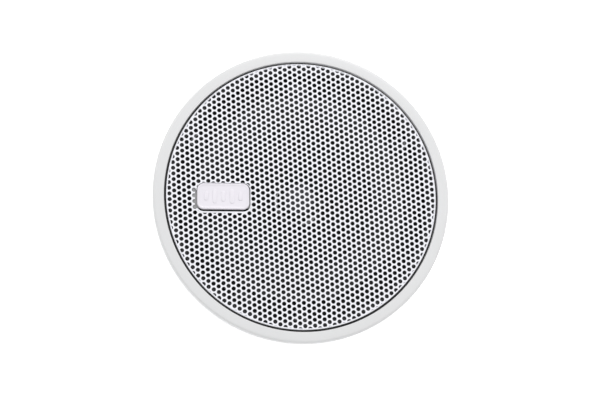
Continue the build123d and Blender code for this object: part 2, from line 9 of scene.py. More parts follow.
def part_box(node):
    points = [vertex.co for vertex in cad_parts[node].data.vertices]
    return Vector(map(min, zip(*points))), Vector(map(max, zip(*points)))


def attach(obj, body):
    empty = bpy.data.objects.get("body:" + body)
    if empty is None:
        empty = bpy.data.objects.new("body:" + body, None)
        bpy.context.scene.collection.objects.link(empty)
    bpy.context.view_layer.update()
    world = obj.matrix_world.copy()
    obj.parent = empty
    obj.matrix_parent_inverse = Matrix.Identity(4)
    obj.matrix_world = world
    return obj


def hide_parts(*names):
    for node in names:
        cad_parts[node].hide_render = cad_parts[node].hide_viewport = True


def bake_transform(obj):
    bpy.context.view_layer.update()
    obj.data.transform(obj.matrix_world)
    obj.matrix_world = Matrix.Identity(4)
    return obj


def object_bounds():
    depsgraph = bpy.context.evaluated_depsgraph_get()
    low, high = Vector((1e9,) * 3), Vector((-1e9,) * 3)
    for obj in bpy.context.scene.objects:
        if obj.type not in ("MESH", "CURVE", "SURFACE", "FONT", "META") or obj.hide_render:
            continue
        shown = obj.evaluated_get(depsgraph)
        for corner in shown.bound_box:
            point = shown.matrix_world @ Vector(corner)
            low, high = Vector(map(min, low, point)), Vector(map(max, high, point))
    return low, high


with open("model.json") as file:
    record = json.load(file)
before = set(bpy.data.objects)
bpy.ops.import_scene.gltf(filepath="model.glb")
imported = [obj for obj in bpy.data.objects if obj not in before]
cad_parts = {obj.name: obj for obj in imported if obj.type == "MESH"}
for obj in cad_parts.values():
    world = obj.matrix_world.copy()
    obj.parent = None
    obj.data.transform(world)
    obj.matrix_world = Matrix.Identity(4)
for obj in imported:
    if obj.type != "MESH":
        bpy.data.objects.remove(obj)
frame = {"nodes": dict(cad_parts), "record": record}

bl_info = {
    "name": "Flush speaker builder",
    "version": (1, 0, 0),
    "blender": (4, 5, 0),
    "location": "3D View > Sidebar > Speaker",
    "description": "Builds a round flush-mounting speaker, piece by piece, round its packed frame",
    "category": "Add Mesh",
}

MM = 0.001  # metres in a millimetre
FINE = 256  # steps round a large turned piece
SMALL = 96  # steps round a small turned piece

frame_low, frame_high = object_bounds()
record = frame["record"]
SLOTS = {entry["slot"]: entry for entry in record["materials"]}
NODE_SLOT = {entry["node"]: entry["material_slot"] for entry in record["subparts"]}
NODE_BODY = {node: body for body, nodes in record["behaviour"]["bodies"].items() for node in nodes}
MOUNTS = {entry["name"]: entry for entry in record["mounts"]}

bezel_low, bezel_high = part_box("bezel")
barrel_low, barrel_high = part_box("frame")
ledge_low, ledge_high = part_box("ledge_ring")
grille_low, grille_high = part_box("grille")
badge_low, badge_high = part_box("badge")
baffle_low, baffle_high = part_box("baffle")
FLANGE_R = bezel_high.x / MM
FLANGE_TOP = bezel_high.z / MM
BARREL_R = MOUNTS["cutout_barrel"]["dims"]["r_mm"]
BARREL_LAND = -MOUNTS["cutout_barrel"]["dims"]["length_mm"]
BARREL_END = barrel_low.z / MM
COLLAR_R = barrel_high.x / MM
COLLAR_TOP = barrel_high.z / MM
BARREL_IN = ledge_high.x / MM
GRILLE_R = grille_high.x / MM
GRILLE_TOP = grille_high.z / MM
GRILLE_END = grille_low.z / MM
BADGE_CENTRE = (badge_low + badge_high) / 2
BADGE_SIZE = (badge_high - badge_low) / MM


# ------------------------------------------------------------------ settings


def length(name, text, default):
    """A length in millimetres, as a setting."""
    return bpy.props.FloatProperty(name=name, description=text, default=default, unit="NONE", min=0)


def turn(name, text, degrees):
    """An angle, as a setting."""
    return bpy.props.FloatProperty(
        name=name, description=text, default=math.radians(degrees), subtype="ANGLE"
    )


def number(name, text, default):
    """A plain number, as a setting."""
    return bpy.props.FloatProperty(name=name, description=text, default=default)


def colour(name, text, default):
    """A colour, as a setting."""
    return bpy.props.FloatVectorProperty(
        name=name, description=text, default=default, subtype="COLOR", size=3, min=0, max=1
    )


class GrilleSettings(bpy.types.PropertyGroup):
    hole: length("Hole", "Diameter of one hole, in millimetres", 2.28)
    pitch: length("Pitch", "Distance between the holes of one upright row, in millimetres", 3.03)
    row_step: length("Row step", "Distance between neighbouring upright rows, in millimetres", 2.578)
    row_angle: turn("Row angle", "How far the upright rows lean", 2.83)
    row_offset: number("Row offset", "Height of the middle hole, in millimetres", -1.25)
    sheet: length("Sheet", "Thickness of the sheet, in millimetres", 0.7)
    rim: length("Rim", "Width of the plain rim, in millimetres", 0.4)
    lip: length("Lip", "Flare at each hole's mouth, in millimetres", 0.06)


class BezelSettings(bpy.types.PropertyGroup):
    ring_width: length("Ring width", "Width of the flat ring, in millimetres", 5.9)
    edge_round: length("Edge", "Radius of the ring's outer edge, in millimetres", 1.6)
    plastic: colour("Plastic", "Colour of the moulded ring", (0.712, 0.712, 0.712))


class FinishSettings(bpy.types.PropertyGroup):
    enamel: colour("Enamel", "Colour of the powder-coated sheet", (0.86, 0.86, 0.90))
    badge: colour("Badge", "Colour of the badge", (0.79, 0.762, 0.81))
    backing: colour("Backing", "Colour of the plate behind the badge", (0.36, 0.36, 0.36))
    cone: colour("Cone", "Colour of the paper cone", (0.02, 0.02, 0.02))


class StageSettings(bpy.types.PropertyGroup):
    lens: length("Lens", "Focal length, in millimetres", 98.64)
    distance: length("Distance", "From the camera to the grille, in millimetres", 865.2)
    tilt: turn("Tilt", "Between the view and the grille's axis", 13.56)
    lean: turn("Lean", "Which way the grille leans", 60.4)
    shift_x: number("Shift X", "Of the grille in view, in millimetres", 1.17)
    shift_y: number("Shift Y", "Of the grille in view, in millimetres", 2.77)
    key_power: number("Key", "Power of the key light", 4.5)
    sky: number("Sky", "Strength of the even light", 0.88)
    floor_glow: number("Floor glow", "How brightly the floor shines", 0.55)


# ------------------------------------------------------------------ materials


def node(tree, kind, **values):
    """A shader node with its settings and its unlinked inputs."""
    made = tree.nodes.new(kind)
    for key, value in values.items():
        if hasattr(made, key):
            setattr(made, key, value)
        else:
            made.inputs[key.replace("_", " ").title()].default_value = value
    return made


def surface(
    name, base, roughness, metallic=0.0, vary=0.04, grain=900.0, bump=0.02, blotch=35.0, coat=0.0, sheen=0.0,
    specular=0.5,
):
    """A finish with faint blotches of tone, grain in its gloss and a fine bump."""
    made = bpy.data.materials.new(name)
    made.use_nodes = True
    tree = made.node_tree
    shader = tree.nodes["Principled BSDF"]
    shader.inputs["Metallic"].default_value = metallic
    shader.inputs["Coat Weight"].default_value = coat
    shader.inputs["Sheen Weight"].default_value = sheen
    shader.inputs["Specular IOR Level"].default_value = specular
    place = node(tree, "ShaderNodeTexCoord").outputs["Object"]
    wide = node(tree, "ShaderNodeTexNoise", scale=blotch, detail=4.0)
    fine = node(tree, "ShaderNodeTexNoise", scale=grain, detail=3.0)
    tree.links.new(place, wide.inputs["Vector"])
    tree.links.new(place, fine.inputs["Vector"])
    ramp = tree.nodes.new("ShaderNodeValToRGB")
    ramp.color_ramp.elements[0].position = 0.3
    ramp.color_ramp.elements[1].position = 0.7
    ramp.color_ramp.elements[0].color = [value * (1 - vary) for value in base] + [1]
    ramp.color_ramp.elements[1].color = [min(1, value * (1 + vary)) for value in base] + [1]
    tree.links.new(wide.outputs["Fac"], ramp.inputs["Fac"])
    tree.links.new(ramp.outputs["Color"], shader.inputs["Base Color"])
    spread = tree.nodes.new("ShaderNodeMapRange")
    spread.inputs["To Min"].default_value = max(0.02, roughness - 0.06)
    spread.inputs["To Max"].default_value = min(1, roughness + 0.06)
    tree.links.new(fine.outputs["Fac"], spread.inputs["Value"])
    tree.links.new(spread.outputs["Result"], shader.inputs["Roughness"])
    relief = tree.nodes.new("ShaderNodeBump")
    relief.inputs["Strength"].default_value = 0.6
    relief.inputs["Distance"].default_value = bump * MM
    tree.links.new(fine.outputs["Fac"], relief.inputs["Height"])
    tree.links.new(relief.outputs["Normal"], shader.inputs["Normal"])
    return made


def pattern(made, texture, strength=0.5, depth=0.1, dark=0.6, axis_scale=(1, 1, 1)):
    """Lays a regular pattern over a finish: it paints shade into the hollows, by darkening the colour there,
    and lifts the bump.
    """
    tree = made.node_tree
    shader = tree.nodes["Principled BSDF"]
    place = node(tree, "ShaderNodeTexCoord").outputs["Object"]
    turn = node(tree, "ShaderNodeMapping")
    turn.inputs["Scale"].default_value = axis_scale
    tree.links.new(place, turn.inputs["Vector"])
    tree.links.new(turn.outputs["Vector"], texture.inputs["Vector"])
    height = texture.outputs["Fac"] if "Fac" in texture.outputs else texture.outputs[0]
    # Painted shade: the colour is multiplied by the pattern's height, so it is darkest in the hollows.
    mix = tree.nodes.new("ShaderNodeMix")
    mix.data_type = "RGBA"
    mix.blend_type = "MULTIPLY"
    mix.inputs["Factor"].default_value = strength
    shade = tree.nodes.new("ShaderNodeMapRange")
    shade.inputs["To Min"].default_value = dark
    tree.links.new(height, shade.inputs["Value"])
    source = shader.inputs["Base Color"].links[0].from_socket
    tree.links.new(source, mix.inputs["A"])
    tree.links.new(shade.outputs["Result"], mix.inputs["B"])
    tree.links.new(mix.outputs["Result"], shader.inputs["Base Color"])
    relief = tree.nodes.new("ShaderNodeBump")
    relief.inputs["Strength"].default_value = 0.7
    relief.inputs["Distance"].default_value = depth * MM
    tree.links.new(height, relief.inputs["Height"])
    tree.links.new(shader.inputs["Normal"].links[0].from_socket, relief.inputs["Normal"])
    tree.links.new(relief.outputs["Normal"], shader.inputs["Normal"])
    return made


# How each finish differs: roughness, metallic, tone change, grain size, bump in mm, coat, sheen
FINISHES = {
    "white_plastic": dict(roughness=0.42, vary=0.012, grain=2600, bump=0.012, blotch=22),
    "white_enamel": dict(roughness=0.38, vary=0.010, grain=1500, bump=0.020, blotch=30, coat=0.15),
    "badge_plastic": dict(roughness=0.36, vary=0.012, grain=2200, bump=0.008, blotch=60),
    "grey_backing": dict(roughness=0.80, vary=0.10, grain=3000, bump=0.03, blotch=300),
    "black_plastic": dict(roughness=0.70, vary=0.15, grain=2600, bump=0.03, specular=0.12),
    "can_plastic": dict(roughness=0.55, vary=0.02, grain=2200, bump=0.04, blotch=18),
    "gland_nylon": dict(roughness=0.45, vary=0.10, grain=1800, bump=0.02),
    "seal_rubber": dict(roughness=0.80, vary=0.15, grain=3000, bump=0.03, specular=0.2),
    "surround_rubber": dict(roughness=0.62, vary=0.12, grain=2500, bump=0.02, specular=0.25),
    "cone_paper": dict(roughness=0.85, vary=0.22, grain=700, bump=0.10, blotch=120, specular=0.2),
    "spider_cloth": dict(roughness=0.90, vary=0.10, grain=2000, bump=0.05, sheen=0.3),
    "dome_silk": dict(roughness=0.70, vary=0.10, grain=3000, bump=0.02, sheen=0.1, specular=0.2),
    "former_film": dict(roughness=0.30, vary=0.05, grain=900, bump=0.01, coat=0.4),
    "copper_winding": dict(roughness=0.28, metallic=1.0, vary=0.08, grain=1500, bump=0.01, coat=0.5),
    "ferrite": dict(roughness=0.62, vary=0.12, grain=1600, bump=0.03),
    "zinc_steel": dict(roughness=0.32, metallic=1.0, vary=0.06, grain=1200, bump=0.01),
    "black_steel": dict(roughness=0.40, metallic=0.3, vary=0.10, grain=1500, bump=0.02, coat=0.2),
    "nickel_magnet": dict(roughness=0.18, metallic=1.0, vary=0.03, grain=1200, bump=0.005),
    "brass": dict(roughness=0.26, metallic=1.0, vary=0.05, grain=1300, bump=0.01),
    "clamp_nylon": dict(roughness=0.50, vary=0.03, grain=1500, bump=0.03),
    "board_laminate": dict(roughness=0.35, vary=0.08, grain=900, bump=0.01, coat=0.5),
    "chip_epoxy": dict(roughness=0.60, vary=0.10, grain=3000, bump=0.02),
    "shield_tin": dict(roughness=0.30, metallic=1.0, vary=0.05, grain=800, bump=0.01),
    "heat_sink_alloy": dict(roughness=0.36, metallic=1.0, vary=0.05, grain=1300, bump=0.02),
    "transformer_core": dict(roughness=0.55, vary=0.15, grain=1300, bump=0.03),
    "capacitor_sleeve": dict(roughness=0.25, vary=0.05, grain=700, bump=0.01, coat=0.5),
    "connector_nylon": dict(roughness=0.45, vary=0.03, grain=1500, bump=0.01),
    "wire_jacket": dict(roughness=0.50, vary=0.08, grain=1500, bump=0.01),
    "terminal_plastic": dict(roughness=0.40, vary=0.08, grain=1800, bump=0.02),
    "lever_plastic": dict(roughness=0.38, vary=0.05, grain=1800, bump=0.01),
    "button_plastic": dict(roughness=0.38, vary=0.05, grain=1800, bump=0.01),
}
made_finishes = {}


def rings_texture(tree, scale):
    """Fine rings round the axis."""
    return node(
        tree, "ShaderNodeTexWave", wave_type="RINGS", rings_direction="Z", scale=scale, distortion=0.6
    )


def finish(slot_name):
    """The finish of one of the record's material slots, made once."""
    if slot_name in made_finishes:
        return made_finishes[slot_name]
    scene = bpy.context.scene
    own = {
        "white_plastic": scene.speaker_bezel.plastic,
        "white_enamel": scene.speaker_finish.enamel,
        "badge_plastic": scene.speaker_finish.badge,
        "grey_backing": scene.speaker_finish.backing,
        "cone_paper": scene.speaker_finish.cone,
    }
    base = list(own.get(slot_name, SLOTS[slot_name]["base_color"][:3]))
    made = surface(slot_name, base, **FINISHES[slot_name])
    tree = made.node_tree
    # Each pattern below paints shade into the hollows of its own bump.
    if slot_name == "cone_paper":
        pattern(made, rings_texture(tree, 260.0), strength=0.35, depth=0.10)
    if slot_name == "copper_winding":
        bands = node(tree, "ShaderNodeTexWave", bands_direction="Z", scale=900.0, distortion=0.4)
        pattern(made, bands, strength=0.8, depth=0.12, dark=0.35)
    if slot_name == "spider_cloth":
        weave = node(tree, "ShaderNodeTexVoronoi", distance="MANHATTAN", scale=1400.0)
        pattern(made, weave, strength=0.7, depth=0.15, dark=0.5)
    if slot_name in ("zinc_steel", "heat_sink_alloy", "shield_tin"):
        brushed = node(tree, "ShaderNodeTexNoise", scale=300.0, detail=6.0)
        pattern(made, brushed, strength=0.4, depth=0.02, dark=0.7, axis_scale=(1, 12, 12))
    made_finishes[slot_name] = made
    return made


# ------------------------------------------------------------------ mesh helpers


def new_piece(name, mesh_data):
    """An object for a finished mesh, at the origin."""
    piece = bpy.data.objects.new(name, mesh_data)
    bpy.context.scene.collection.objects.link(piece)
    return piece


def tidy(made, sharp=35.0):
    """Merges doubles, turns the faces outwards and smooths all but the sharp edges."""
    shape = bmesh.new()
    shape.from_mesh(made)
    bmesh.ops.remove_doubles(shape, verts=shape.verts, dist=1e-6)
    bmesh.ops.recalc_face_normals(shape, faces=shape.faces)
    shape.to_mesh(made)
    shape.free()
    made.polygons.foreach_set("use_smooth", [True] * len(made.polygons))
    made.set_sharp_from_angle(angle=math.radians(sharp))
    return made


def rounded(*corners, steps=5):
    """An outline in which each (radius, height, round) corner is an arc of that radius."""
    points = []
    count = len(corners)
    for index, (x, y, *rest) in enumerate(corners):
        here = Vector((x, y))
        arc = rest[0] if rest else 0
        before = Vector(corners[index - 1][:2]) - here
        after = Vector(corners[(index + 1) % count][:2]) - here
        if not arc:
            points.append(here)
            continue
        half = before.angle(after) / 2
        reach = min(arc / math.tan(half), before.length * 0.49, after.length * 0.49)
        radius = reach * math.tan(half)
        middle = here + (before.normalized() + after.normalized()).normalized() * radius / math.sin(half)
        start = here + before.normalized() * reach - middle
        turn = start.angle_signed(here + after.normalized() * reach - middle)
        for step in range(steps + 1):
            points.append(middle + Matrix.Rotation(-turn * step / steps, 2) @ start)
    return points


def lathe(name, outline, steps=FINE, sharp=35.0):
    """A turned piece from a closed outline of (radius, height) in millimetres."""
    shape = bmesh.new()
    rings = []
    for x, y in outline:
        if x < 1e-6:
            rings.append([shape.verts.new((0, 0, y * MM))] * steps)
            continue
        ring = []
        for step in range(steps):
            angle = math.tau * step / steps
            ring.append(shape.verts.new((x * MM * math.cos(angle), x * MM * math.sin(angle), y * MM)))
        rings.append(ring)
    for index, ring in enumerate(rings):
        following = rings[(index + 1) % len(rings)]
        for step in range(steps):
            beside = (step + 1) % steps
            corners = list(dict.fromkeys((ring[step], ring[beside], following[beside], following[step])))
            if len(corners) > 2:
                shape.faces.new(corners)
    made = bpy.data.meshes.new(name)
    shape.to_mesh(made)
    shape.free()
    return new_piece(name, tidy(made, sharp))


def rounded_rectangle(width, depth, corner, centre=(0, 0), steps=10):
    """The points round a rectangle with round corners, in millimetres."""
    points = []
    for quarter, (side_x, side_y) in enumerate(((1, 1), (-1, 1), (-1, -1), (1, -1))):
        for step in range(steps + 1):
            angle = math.pi / 2 * (quarter + step / steps)
            x = centre[0] + side_x * (width / 2 - corner) + corner * math.cos(angle)
            y = centre[1] + side_y * (depth / 2 - corner) + corner * math.sin(angle)
            points.append((x, y))
    return points


def stacked(name, layers, sharp=35.0):
    """A closed piece from outlines of equal count, each with its height, bottom first, in millimetres."""
    shape = bmesh.new()
    rings = []
    for outline, height in layers:
        rings.append([shape.verts.new((x * MM, y * MM, height * MM)) for x, y in outline])
    for lower, upper in zip(rings, rings[1:]):
        for step in range(len(lower)):
            beside = (step + 1) % len(lower)
            shape.faces.new((lower[step], lower[beside], upper[beside], upper[step]))
    shape.faces.new(list(reversed(rings[0])))
    shape.faces.new(rings[-1])
    made = bpy.data.meshes.new(name)
    shape.to_mesh(made)
    shape.free()
    return new_piece(name, tidy(made, sharp))


def joined(name, pieces, sharp=35.0):
    """One piece from several, whose closed shapes stay as they are."""
    shape = bmesh.new()
    for piece in pieces:
        shape.from_mesh(piece.data)
        drop(piece)
    made = bpy.data.meshes.new(name)
    shape.to_mesh(made)
    shape.free()
    made.polygons.foreach_set("use_smooth", [True] * len(made.polygons))
    made.set_sharp_from_angle(angle=math.radians(sharp))
    return new_piece(name, made)


def drop(piece):
    """Removes a helper object and its mesh."""
    data = piece.data
    bpy.data.objects.remove(piece)
    bpy.data.meshes.remove(data)


def settled(piece, sharp=35.0):
    """Turns the result of the live modifiers into the piece's own mesh and removes them."""
    graph = bpy.context.evaluated_depsgraph_get()
    made = bpy.data.meshes.new_from_object(piece.evaluated_get(graph), depsgraph=graph)
    old = piece.data
    piece.modifiers.clear()
    piece.data = made
    made.name = piece.name
    if old.users == 0:
        bpy.data.meshes.remove(old)
    tidy(made, sharp)
    return piece


def cut(piece, cutter, sharp=35.0):
    """Takes the cutter's shape out of the piece."""
    change = piece.modifiers.new("cut", "BOOLEAN")
    change.operation = "DIFFERENCE"
    change.solver = "MANIFOLD"
    change.object = cutter
    settled(piece, sharp)
    drop(cutter)
    return piece


def box_piece(x, y, z, turn=0.0):
    """A plain helper box between two values on each axis, in millimetres, turned about Z."""
    corners = [(x[0], y[0]), (x[1], y[0]), (x[1], y[1]), (x[0], y[1])]
    spin = Matrix.Rotation(turn, 2)
    outline = [tuple(spin @ Vector(corner)) for corner in corners]
    return stacked("helper", [(outline, z[0]), (outline, z[1])])


def clad(piece, slot_name, body, *nodes):
    """Gives a finished piece its finish and its body, and hides the CAD nodes that it stands for."""
    piece.data.materials.clear()
    piece.data.materials.append(finish(slot_name))
    if nodes:
        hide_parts(*nodes)
    if body:
        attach(piece, body)
    return piece


# ------------------------------------------------------------------ geometry node trees


def tree_socket(tree, name, kind, default):
    """A named input of a geometry node tree."""
    made = tree.interface.new_socket(name, in_out="INPUT", socket_type=kind)
    if default is not None:
        made.default_value = default
    return made.identifier


def perforation_tree():
    """A sheet cut by a triangular pattern of flared holes, within a circle."""
    tree = bpy.data.node_groups.new("perforations", "GeometryNodeTree")
    tree_socket(tree, "Geometry", "NodeSocketGeometry", None)
    keys = {
        "Pitch": tree_socket(tree, "Pitch", "NodeSocketFloat", 0.003),
        "Row Step": tree_socket(tree, "Row Step", "NodeSocketFloat", 0.0026),
        "Hole Radius": tree_socket(tree, "Hole Radius", "NodeSocketFloat", 0.001),
        "Flare": tree_socket(tree, "Flare", "NodeSocketFloat", 0.0001),
        "Field Radius": tree_socket(tree, "Field Radius", "NodeSocketFloat", 0.07),
        "Row Angle": tree_socket(tree, "Row Angle", "NodeSocketFloat", 0.0),
        "Row Offset": tree_socket(tree, "Row Offset", "NodeSocketFloat", 0.0),
        "Top": tree_socket(tree, "Top", "NodeSocketFloat", 0.0046),
        "Sheet": tree_socket(tree, "Sheet", "NodeSocketFloat", 0.001),
        "Window": tree_socket(tree, "Window", "NodeSocketObject", None),
        "Finish": tree_socket(tree, "Finish", "NodeSocketMaterial", None),
    }
    tree.interface.new_socket("Geometry", in_out="OUTPUT", socket_type="NodeSocketGeometry")
    given = tree.nodes.new("NodeGroupInput").outputs
    result = tree.nodes.new("NodeGroupOutput")
    link = tree.links.new

    def sums(operation, first, second):
        made = tree.nodes.new("ShaderNodeMath")
        made.operation = operation
        for socket, value in zip(made.inputs, (first, second)):
            if isinstance(value, (int, float)):
                socket.default_value = value
            elif value is not None:
                link(value, socket)
        return made.outputs[0]

    def joined_vector(x, y, z):
        made = tree.nodes.new("ShaderNodeCombineXYZ")
        for socket, value in zip(made.inputs, (x, y, z)):
            if isinstance(value, (int, float)):
                socket.default_value = value
            else:
                link(value, socket)
        return made.outputs[0]

    def split_position():
        made = tree.nodes.new("ShaderNodeSeparateXYZ")
        link(tree.nodes.new("GeometryNodeInputPosition").outputs[0], made.inputs[0])
        return made.outputs

    # a grid of points, every second column half a pitch higher
    columns = 60
    rows = 52
    step = given["Row Step"]
    grid = tree.nodes.new("GeometryNodeMeshGrid")
    grid.inputs["Vertices X"].default_value = columns + 1
    grid.inputs["Vertices Y"].default_value = rows + 1
    link(sums("MULTIPLY", step, columns), grid.inputs["Size X"])
    link(sums("MULTIPLY", given["Pitch"], rows), grid.inputs["Size Y"])
    x, _, _ = split_position()
    column = sums("ROUND", sums("DIVIDE", x, step), None)
    odd = sums("ABSOLUTE", sums("MODULO", column, 2), None)
    lift = tree.nodes.new("GeometryNodeSetPosition")
    link(grid.outputs["Mesh"], lift.inputs["Geometry"])
    half_up = sums("MULTIPLY", sums("MULTIPLY", odd, given["Pitch"]), 0.5)
    link(joined_vector(0, half_up, 0), lift.inputs["Offset"])
    turn = tree.nodes.new("GeometryNodeTransform")
    link(lift.outputs[0], turn.inputs["Geometry"])
    link(joined_vector(0, 0, given["Row Angle"]), turn.inputs["Rotation"])
    link(joined_vector(0, given["Row Offset"], 0), turn.inputs["Translation"])
    x, y, _ = split_position()
    away = sums("POWER", sums("ADD", sums("POWER", x, 2), sums("POWER", y, 2)), 0.5)
    outside = tree.nodes.new("GeometryNodeDeleteGeometry")
    link(turn.outputs[0], outside.inputs["Geometry"])
    link(sums("GREATER_THAN", away, given["Field Radius"]), outside.inputs["Selection"])

    # one flared cutter: straight up to the flare, then 45 degrees outwards
    cutter = tree.nodes.new("GeometryNodeMeshCylinder")
    cutter.inputs["Vertices"].default_value = 12
    cutter.inputs["Side Segments"].default_value = 3
    link(given["Hole Radius"], cutter.inputs["Radius"])
    link(sums("MULTIPLY", given["Sheet"], 3), cutter.inputs["Depth"])
    cutter_x, cutter_y, cutter_z = split_position()
    above = sums("MAXIMUM", sums("SUBTRACT", cutter_z, sums("MULTIPLY", given["Sheet"], 0.5)), 0)
    widen = sums("ADD", sums("DIVIDE", above, given["Hole Radius"]), 1)
    flare = tree.nodes.new("GeometryNodeSetPosition")
    link(cutter.outputs["Mesh"], flare.inputs["Geometry"])
    link(
        joined_vector(sums("MULTIPLY", cutter_x, widen), sums("MULTIPLY", cutter_y, widen), cutter_z),
        flare.inputs["Position"],
    )
    flare_end = sums("SUBTRACT", given["Top"], given["Flare"])
    height = sums("SUBTRACT", flare_end, sums("MULTIPLY", given["Sheet"], 0.5))
    raised = tree.nodes.new("GeometryNodeTransform")
    link(flare.outputs[0], raised.inputs["Geometry"])
    link(joined_vector(0, 0, height), raised.inputs["Translation"])
    spread = tree.nodes.new("GeometryNodeInstanceOnPoints")
    link(outside.outputs[0], spread.inputs["Points"])
    link(raised.outputs[0], spread.inputs["Instance"])
    real = tree.nodes.new("GeometryNodeRealizeInstances")
    link(spread.outputs[0], real.inputs[0])

    window = tree.nodes.new("GeometryNodeObjectInfo")
    link(given["Window"], window.inputs["Object"])
    result_cut = None
    for tool in (real.outputs[0], window.outputs["Geometry"]):
        punched = tree.nodes.new("GeometryNodeMeshBoolean")
        punched.operation = "DIFFERENCE"
        punched.solver = "MANIFOLD"
        link(result_cut or given["Geometry"], punched.inputs["Mesh 1"])
        link(tool, punched.inputs["Mesh 2"])
        result_cut = punched.outputs["Mesh"]
    last = tree.nodes.new("GeometryNodeRealizeInstances")
    link(result_cut, last.inputs[0])
    painted = tree.nodes.new("GeometryNodeSetMaterial")
    link(last.outputs[0], painted.inputs["Geometry"])
    link(given["Finish"], painted.inputs["Material"])
    link(painted.outputs[0], result.inputs[0])
    return tree, keys


def through_tree(piece, tree, keys, values, sharp=35.0):
    """Runs a geometry node tree on a piece and keeps the plain mesh that it makes."""
    change = piece.modifiers.new(tree.name, "NODES")
    change.node_group = tree
    for name, value in values.items():
        change[keys[name]] = value
    return settled(piece, sharp)


# ------------------------------------------------------------------ operators

GROOVE_FLOOR = 2.4
LIP_IN, LIP_OUT, LIP_TOP = 68.6, 69.4, 3.2
GROOVE_OUT = 72.6
POCKET_ENDS = (-4.5, 20.0)  # degrees on either side of a clamp's screw


class SPEAKER_OT_bezel(bpy.types.Operator):
    """The bezel with its flat ring and groove, and the barrel behind it with the clamps' pockets"""

    bl_idname = "speaker.bezel"
    bl_label = "Bezel and barrel"

    def execute(self, context):
        chosen = context.scene.speaker_bezel
        ring_in = FLANGE_R - chosen.ring_width
        ring = rounded(
            (COLLAR_R, 0), (FLANGE_R, 0, 0.6), (FLANGE_R, FLANGE_TOP, chosen.edge_round),
            (ring_in, FLANGE_TOP, 0.3), (ring_in, GROOVE_FLOOR, 0.2), (LIP_OUT, GROOVE_FLOOR, 0.2),
            (LIP_OUT, LIP_TOP, 0.25), (LIP_IN, LIP_TOP, 0.25), (BARREL_IN, 1.5, 0.3),
            (BARREL_IN, COLLAR_TOP), (COLLAR_R, COLLAR_TOP),
            steps=6,
        )
        clad(lathe("bezel_ring", ring, FINE), "white_plastic", "frame", "bezel")
        # A dark strip over the groove floor and the lip, in the seal rubber's finish: painted shade, standing
        # in for the shadow down in the shadow gap.
        shade_strip_low, shade_strip_high = GROOVE_FLOOR - 0.1, GROOVE_FLOOR + 0.2
        shade_strip = rounded(
            (66.9, 1.1), (LIP_IN - 0.1, LIP_TOP - 0.1), (LIP_OUT + 0.1, LIP_TOP - 0.1),
            (LIP_OUT + 0.1, shade_strip_low), (GROOVE_OUT - 0.1, shade_strip_low), (GROOVE_OUT - 0.1, shade_strip_high),
            (LIP_OUT + 0.3, shade_strip_high), (LIP_OUT + 0.3, LIP_TOP + 0.2), (LIP_IN - 0.3, LIP_TOP + 0.2),
            (66.7, 1.4),
        )
        clad(lathe("groove_felt", shade_strip, FINE), "seal_rubber", "frame")
        lower = BARREL_R - 0.8
        tube = rounded(
            (BARREL_IN, COLLAR_TOP), (COLLAR_R, COLLAR_TOP), (COLLAR_R, 0), (BARREL_R, 0),
            (BARREL_R, BARREL_LAND, 0.4), (lower, BARREL_LAND - 0.8, 0.4), (lower, BARREL_END, 0.6),
            (BARREL_IN, BARREL_END, 0.5),
        )
        body = lathe("barrel", tube, FINE)
        for number in (1, 2, 3):
            low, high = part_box(f"clamp_screw_{number}")
            middle = (low + high) / 2
            angle = math.atan2(middle.y, middle.x)
            start, end = (angle + math.radians(value) for value in POCKET_ENDS)
            inside, outside = BARREL_IN - 7, BARREL_R + 6
            corners = (
                (inside, start), (outside, start), (outside, (start + end) / 2), (outside, end), (inside, end)
            )
            outline = [(radius * math.cos(way), radius * math.sin(way)) for radius, way in corners]
            body = cut(body, stacked("helper", [(outline, BARREL_END - 1), (outline, BARREL_LAND)]))
        clad(body, "white_plastic", "frame", "frame")
        return {"FINISHED"}


